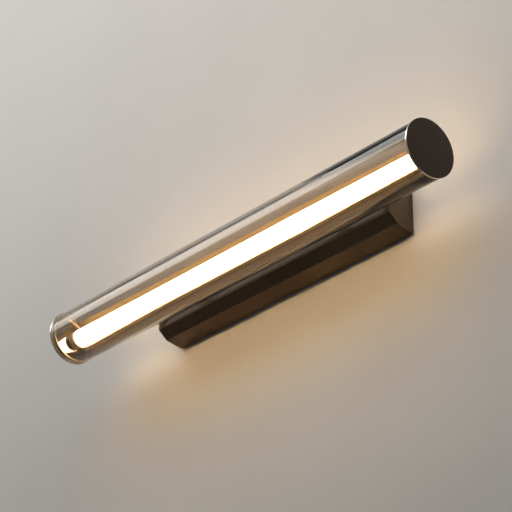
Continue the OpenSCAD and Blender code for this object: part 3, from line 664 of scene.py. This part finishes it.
# Rear diffuser: a curved satin sheet that lies against the bore behind the lamp. It hides the
# bracket, and a part of the lamp's light goes through it and warms the wall.
satin = finish("satin sheet", (0.17, 0.122, 0.057), (0.159, 0.113, 0.053), 500, (0.45, 0.53), 0.002,
               stretch=(0.3, 1, 1), edge=0, Specular_IOR_Level=0.04)
tree, shader, plain_colour = shader_of(satin)
# The sheet's colour is painted darker towards its bottom edge: painted shade below the lamp, full colour above
# it.
place = node(tree, "ShaderNodeSeparateXYZ", {0: node(tree, "ShaderNodeTexCoord").outputs["Object"]})
lower = node(tree, "ShaderNodeMapRange", {
    "Value": place.outputs["Z"], "From Min": -16 * MM, "From Max": 8 * MM, "To Min": 0.16, "To Max": 1.0})
shade = node(tree, "ShaderNodeVectorMath", {0: plain_colour, "Scale": lower.outputs[0]}, operation="SCALE")
feed(tree, shader, {"Base Color": shade.outputs[0]})
glow = node(tree, "ShaderNodeBsdfTranslucent", {"Color": (0.36, 0.22, 0.085, 1)})
sheer = node(tree, "ShaderNodeMixShader", {0: 0.1, 1: shader.outputs[0], 2: glow.outputs[0]})
lets_lamps_through(tree, sheer, (0.95, 0.87, 0.75))
low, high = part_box("rear_diffuser")
sheet_ro, sheet_t, half_angle, across = 24.92 * MM, 0.5 * MM, math.radians(65), 96
work = bmesh.new()
rows = []
for x in (low.x, high.x):
    for r in (sheet_ro, sheet_ro - sheet_t):
        rows.append([work.verts.new((x, tube_axis.y + r * math.cos(a), r * math.sin(a)))
                     for a in (half_angle * (2 * k / across - 1) for k in range(across + 1))])
for a, b in ((0, 1), (2, 3), (0, 2), (1, 3)):
    for k in range(across):
        work.faces.new((rows[a][k], rows[a][k + 1], rows[b][k + 1], rows[b][k]))
for k in (0, across):
    work.faces.new((rows[0][k], rows[1][k], rows[3][k], rows[2][k]))
stands_for(piece_of("satin_sheet", work, satin), "housing", "satin_diffuser", "rear_diffuser")

# Lamp rail: a slim aluminium channel behind the lamp, anodised in a warm tone, with the leads in it.
# Drawing lines run along it.
anodised = finish("anodised rail", (0.97, 0.7, 0.38), (0.92, 0.66, 0.36), 60, (0.4, 0.52), 0.01,
                  stretch=(0.5, 14, 14), Metallic=0.25)
coat(anodised, "lamp_carrier")

# Lamp holders: turned cups of a dull gold on a square foot, screwed to the ends of the rail, each
# with a white insert whose ring groove takes the lamp's pins. A slot below lets the pins in.
dull_gold = finish("dull gold holder", (0.95, 0.76, 0.5), (0.88, 0.69, 0.44), 300, (0.3, 0.42), 0.01,
                   stretch=(6, 1, 1), Metallic=0.2)
low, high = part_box("lamp_tube")
lamp_axis = Vector((0, (low.y + high.y) / 2, 0))
lamp_end, lamp_r, mouth_r = high.x, (high.z - low.z) / 2, 7.65 * MM
pin_slot, pin_slot_z = (13.2 * MM, 2.6 * MM, 10 * MM), -5 * MM
for label, sign in (("left", -1), ("right", 1)):
    low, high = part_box("holder_" + label)
    cup_r, cup_ri = high.z, 7.9 * MM
    inner, outer = 276.4 * MM, 283.5 * MM
    cup = rounded([(inner, cup_ri), (inner, cup_r), (outer, cup_r), (outer, cup_ri)], 0.25 * MM, 3)
    holder = turned_piece("lamp_holder_" + label, [(sign * x, r) for x, r in cup], lamp_axis, dull_gold)
    slot = bmesh.new()
    bmesh.ops.create_cube(slot, size=1)
    bmesh.ops.scale(slot, verts=slot.verts, vec=pin_slot)
    bmesh.ops.translate(slot, verts=slot.verts, vec=(sign * inner, lamp_axis.y, pin_slot_z))
    drill(holder, slot)
    work = bmesh.new()
    foot = (inner, outer, high.y, -60.57 * MM, 5.2 * MM)
    tongue = (266.05 * MM, inner + 1 * MM, -53.12 * MM, -55.75 * MM, 3.8 * MM)
    for x0, x1, y0, y1, z in (foot, tongue):
        drawn(work, [(y0, -z), (y0, z), (y1, z), (y1, -z)], sign * x0, sign * x1)
    soften_edges(work, 0.25 * MM)
    work.from_mesh(holder.data)
    crisp(work)
    work.to_mesh(holder.data)
    work.free()
    stands_for(holder, "housing", "brass", "holder_" + label)
    low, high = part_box("holder_insert_" + label)
    mouth, floor = (low.x, high.x) if sign > 0 else (high.x, low.x)
    groove_floor, groove_ro, groove_ri = floor - sign * 0.5 * MM, 3.85 * MM, 1.25 * MM
    shape = [(floor, 0), (floor, high.z), (mouth, high.z), (mouth, groove_ro), (groove_floor, groove_ro),
             (groove_floor, groove_ri), (mouth, groove_ri), (mouth, 0)]
    insert = turned_piece("pin_insert_" + label, rounded(shape, 0.15 * MM, 2), lamp_axis, white_plastic,
                          around=96)
    stands_for(insert, "housing", "white_plastic", "holder_insert_" + label)

# Lamp: an opal tube with rounded shoulders, which glows evenly along its whole length. Metal plugs
# with brass pins close it, and a strip inside carries the light boards.
opal = finish("opal lamp", (0.9, 0.86, 0.78), (0.86, 0.82, 0.74), 200, (0.3, 0.4), 0.01, edge=0)
tree, shader, _ = shader_of(opal)
place = node(tree, "ShaderNodeSeparateXYZ", {0: node(tree, "ShaderNodeTexCoord").outputs["Object"]})
from_middle = node(tree, "ShaderNodeMath", {0: place.outputs["X"]}, operation="ABSOLUTE")
near_end = node(tree, "ShaderNodeMapRange", {
    "Value": from_middle.outputs[0], "From Min": lamp_end - 4 * MM, "From Max": lamp_end + 3 * MM},
                interpolation_type="SMOOTHSTEP")
warmth = node(tree, "ShaderNodeMix", {
    "Factor": near_end.outputs[0], "A": (1.0, 0.86, 0.68, 1), "B": (0.75, 0.58, 0.38, 1)}, data_type="RGBA")
feed(tree, shader, {"Emission Strength": 15.0, "Emission Color": warmth.outputs["Result"]})
shoulder, steps = 3 * MM, 12
curve = [(-lamp_end + shoulder * (1 - math.cos(a)), lamp_r - shoulder * (1 - math.sin(a)))
         for a in (math.pi / 2 * k / steps for k in range(steps + 1))]
shape = [(-lamp_end, mouth_r)] + [p for p in curve if p[1] > mouth_r + 0.01 * MM]
shape += [(-x, r) for x, r in reversed(shape)]
stands_for(turned_piece("opal_lamp", shape, lamp_axis, opal), "lamp", "opal_glow", "lamp_tube")

chip_glow = finish("light point", (0.9, 0.7, 0.3), (0.85, 0.64, 0.26), 900, (0.4, 0.5), 0.01, edge=0.1,
                   Emission_Color=(1, 0.88, 0.7, 1), Emission_Strength=2.0)


def row_of_chips():
    """Geometry tree: one row of small blocks at an even pitch along X."""
    tree, given, outlet = new_group("row of light points", "Geometry", {
        "Geometry": "Geometry", "Count": "Int", "Start": "Vector", "Pitch": "Float", "Size": "Vector",
        "Finish": "Material"}, {"Geometry": "Geometry"})
    step = node(tree, "ShaderNodeCombineXYZ", {"X": given["Pitch"]})
    line = node(tree, "GeometryNodeMeshLine", {
        "Count": given["Count"], "Start Location": given["Start"], "Offset": step.outputs[0]})
    chip = node(tree, "GeometryNodeMeshCube", {"Size": given["Size"]})
    row = node(tree, "GeometryNodeInstanceOnPoints", {
        "Points": line.outputs[0], "Instance": chip.outputs["Mesh"]})
    paint_out(tree, node(tree, "GeometryNodeRealizeInstances", {0: row.outputs[0]}), given, outlet)
    return tree


CHIP_ROW = row_of_chips()
low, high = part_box("led_chips")
chip_count, chip_size, chip_t = 40, 2.4 * MM, 0.7 * MM
chip_pitch = (high.x - low.x - chip_size) / (chip_count - 1)
for label, y in (("front", low.y + chip_t / 2), ("back", high.y - chip_t / 2)):
    chips = grown("light_points_" + label, CHIP_ROW, {
        "Count": chip_count, "Start": (low.x + chip_size / 2, y, 0), "Pitch": chip_pitch,
        "Size": (chip_size, chip_t, chip_size), "Finish": chip_glow})
    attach(chips, "lamp")
    if label == "front":
        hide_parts("led_chips")
coat(milled, "lamp_caps", "heat_strip")
coat(white_plastic, "led_boards")
coat(brass, "lamp_pins")

# End caps: turned aluminium discs, painted a satin dark bronze outside, with a polished rim and a
# polished inner face that mirrors the lamp.
cap_paint = finish("satin bronze cap", (0.043, 0.025, 0.014), (0.038, 0.022, 0.012), 500, (0.4, 0.5),
                   0.012, edge=0, Metallic=0.2, Specular_IOR_Level=0.35)
rim_finish = finish("polished rim", (0.78, 0.71, 0.63), (0.7, 0.63, 0.55), 200, (0.1, 0.2), 0.008,
                    stretch=(8, 1, 1), edge=0, Metallic=1.0)
gasket_mat = finish("pale gasket", (0.82, 0.76, 0.64), (0.76, 0.7, 0.58), 600, (0.4, 0.55), 0.01, edge=0,
                    Subsurface_Weight=0.4, Subsurface_Radius=(0.002, 0.0015, 0.001))
mirror_finish = finish("polished inner face", (0.5, 0.455, 0.395), (0.48, 0.44, 0.38), 300, (0.02, 0.04),
                       0.0, edge=0, Metallic=1.0)
ring_brass = finish("pale brass", (0.52, 0.45, 0.3), (0.46, 0.39, 0.25), 300, (0.26, 0.38), 0.01,
                    stretch=(6, 1, 1), edge=0, Metallic=1.0)


def ring_tree():
    """Geometry tree: the object's own closed outline swept along a part of a circle round X."""
    tree, given, outlet = new_group("split ring", "Geometry", {
        "Geometry": "Geometry", "Centre": "Vector", "Radius": "Float", "Start": "Float", "Sweep": "Float",
        "Steps": "Int", "Finish": "Material"}, {"Geometry": "Geometry"})
    arc = node(tree, "GeometryNodeCurveArc", {
        "Radius": given["Radius"], "Start Angle": given["Start"], "Sweep Angle": given["Sweep"],
        "Resolution": given["Steps"]})
    outline = node(tree, "GeometryNodeMeshToCurve", {"Mesh": given["Geometry"]})
    skin = node(tree, "GeometryNodeCurveToMesh", {
        "Curve": arc.outputs["Curve"], "Profile Curve": outline.outputs[0], "Fill Caps": True})
    put = node(tree, "GeometryNodeTransform", {
        "Geometry": skin.outputs[0], "Translation": given["Centre"], "Rotation": (0, math.pi / 2, 0)})
    paint_out(tree, put, given, outlet)
    return tree


SPLIT_RING = ring_tree()
boss_r, disc_t, edge_round, gasket_ri = 24.62 * MM, 2 * MM, 0.3 * MM, 24.92 * MM
for label, sign in (("left", -1), ("right", 1)):
    body = "cap_" + label
    low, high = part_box("end_cap_" + label)
    disc_r = (high.z - low.z) / 2
    inner_x, outer_x = (low.x, high.x) if sign > 0 else (high.x, low.x)
    face_x = outer_x - sign * disc_t
    shape = rounded([(inner_x, 0), (inner_x, boss_r), (face_x, boss_r), (face_x, disc_r), (outer_x, disc_r),
                     (outer_x, 0)], edge_round, 5)
    disc = turned_piece("end_disc_" + label, shape, tube_axis, cap_paint, rim_finish, around=192)
    for face in disc.data.polygons:
        off_axis = math.hypot(face.center.y - tube_axis.y, face.center.z)
        face.material_index = int(off_axis > boss_r - 0.1 * MM and sign * face.normal.x < 0.7)
    stands_for(disc, body, "bronze_paint", "end_cap_" + label)
    low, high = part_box("cap_gasket_" + label)
    shape = [(low.x, gasket_ri), (low.x, high.z), (high.x, high.z), (high.x, gasket_ri)]
    gasket = turned_piece("gasket_" + label, rounded(shape, 0.12 * MM, 2), tube_axis, gasket_mat, around=192)
    stands_for(gasket, body, "pale_gasket", "cap_gasket_" + label)
    low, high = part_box("mirror_plate_" + label)
    shape = [(low.x, 0), (low.x, high.z), (high.x, high.z), (high.x, 0)]
    plate = turned_piece("mirror_face_" + label, rounded(shape, 0.08 * MM, 2), tube_axis, mirror_finish,
                         around=192)
    stands_for(plate, body, "mirror", "mirror_plate_" + label)

    # Spring ring: a split ring of pale brass that grips the bore and holds the polished face. Its
    # bore has a shallow groove between two ridges, and the split is at the top.
    low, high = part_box("spring_ring_" + label)
    back_x, front_x = (high.x, low.x) if sign > 0 else (low.x, high.x)
    step_x = front_x + sign * 1.7 * MM
    ro, ri, plate_r, groove = 24.9 * MM, 23.34 * MM, 24.17 * MM, 0.28 * MM
    fifth = (step_x - front_x) / 5
    section = [(front_x, ri), (front_x, ro), (back_x, ro), (back_x, plate_r), (step_x, plate_r),
               (step_x, ri), (step_x - fifth, ri), (step_x - 1.6 * fifth, ri + groove),
               (front_x + 1.6 * fifth, ri + groove), (front_x + fifth, ri)]
    middle_x, middle_r, half_split = (front_x + back_x) / 2, ro - 0.8 * MM, 0.043
    points = [(p[1] - middle_r, middle_x - p[0], 0) for p in rounded(section, 0.1 * MM, 2)]
    ring = grown("split_ring_" + label, SPLIT_RING, {
        "Centre": (middle_x, tube_axis.y, 0), "Radius": middle_r, "Start": math.pi + half_split,
        "Sweep": 2 * math.pi - 2 * half_split, "Steps": 192, "Finish": ring_brass}, points,
        [(k, (k + 1) % len(points)) for k in range(len(points))])
    stands_for(ring, body, "polished_brass", "spring_ring_" + label)

# Studio: a pale wall that the light hangs on, a pale floor well below it, one long soft box in
# front and above, a weak even fill, and a soft light behind the wall, which lets both it and the
# view from behind through.
wall_paint = finish("pale wall", (0.6, 0.585, 0.56), (0.588, 0.573, 0.548), 6, (0.8, 0.9), 0.05, edge=0)
tree, shader, _ = shader_of(wall_paint)
shows(tree, node(tree, "ShaderNodeNewGeometry").outputs["Backfacing"], shader,
      node(tree, "ShaderNodeBsdfTransparent"))
floor_paint = finish("pale floor", (0.4, 0.385, 0.365), (0.388, 0.373, 0.353), 3, (0.7, 0.85), 0.05, edge=0)
tree, shader, _ = shader_of(floor_paint)
seen = node(tree, "ShaderNodeLightPath").outputs["Is Camera Ray"]
mostly = node(tree, "ShaderNodeMath", {0: seen, 1: 0.8}, operation="MULTIPLY")
shows(tree, mostly.outputs[0], shader, node(tree, "ShaderNodeEmission", {"Color": (0.58, 0.56, 0.53, 1)}))


def backdrop(name, corners, material):
    """One flat stage surface."""
    mesh = bpy.data.meshes.new(name)
    mesh.from_pydata(corners, [], [tuple(range(len(corners)))])
    mesh.materials.append(material)
    stage = bpy.data.objects.new(name, mesh)
    bpy.context.scene.collection.objects.link(stage)
    return stage


reach, floor_z, wall_y, wall_top = 6.0, -2.8, 0.0004, 4
wall = backdrop("studio_wall", [(-reach, wall_y, floor_z), (reach, wall_y, floor_z),
                                (reach, wall_y, wall_top), (-reach, wall_y, wall_top)], wall_paint)
wall.visible_shadow = False
backdrop("studio_floor", [(-reach, -reach, floor_z), (reach, -reach, floor_z), (reach, reach, floor_z),
                          (-reach, reach, floor_z)], floor_paint)

world = bpy.data.worlds.new("even fill")
bpy.context.scene.world = world
world.use_nodes = True
tree = world.node_tree
seen_by, level = node(tree, "ShaderNodeLightPath").outputs, 0.06
for ray, strength in (("Is Camera Ray", 0.62), ("Is Transmission Ray", 0.3), ("Is Glossy Ray", 0.25)):
    level = node(tree, "ShaderNodeMapRange", {
        "Value": seen_by[ray], "To Min": level, "To Max": strength}).outputs[0]
feed(tree, tree.nodes["Background"], {"Color": (1.0, 0.955, 0.9, 1), "Strength": level})

for name, size, energy, place, aim in (("soft box", (4.0, 0.8), 25, (-0.3, -0.777, 0.973), (-0.3, -0.075, 0)),
                                       ("back light", (1.6, 0.8), 16, (-0.5, 1.7, 0.7), (0, 0, 0))):
    lamp_data = bpy.data.lights.new(name, "AREA")
    lamp_data.shape = "RECTANGLE"
    lamp_data.size, lamp_data.size_y = size
    lamp_data.energy = energy
    lamp_data.spread = math.radians(150)
    lamp_data.color = (1.0, 0.985, 0.96)
    light = bpy.data.objects.new(name, lamp_data)
    light.location = place
    light.rotation_euler = (Vector(aim) - light.location).to_track_quat("-Z", "Y").to_euler()
    light.visible_camera = False
    bpy.context.scene.collection.objects.link(light)

photo_eye, photo_direction = (1.6349, -1.4084, -1.0319), (-0.69135, 0.57498, 0.43753)
camera_data = bpy.data.cameras.new("photo view")
camera_data.sensor_width = 36
camera_data.lens = 161.0
camera_data.clip_start, camera_data.clip_end = 0.05, 50
camera = bpy.data.objects.new("photo view", camera_data)
camera.location = photo_eye
camera.rotation_euler = Vector(photo_direction).to_track_quat("-Z", "Y").to_euler()
bpy.context.scene.collection.objects.link(camera)
bpy.context.scene.camera = camera
bpy.context.scene.view_settings.view_transform = "Standard"
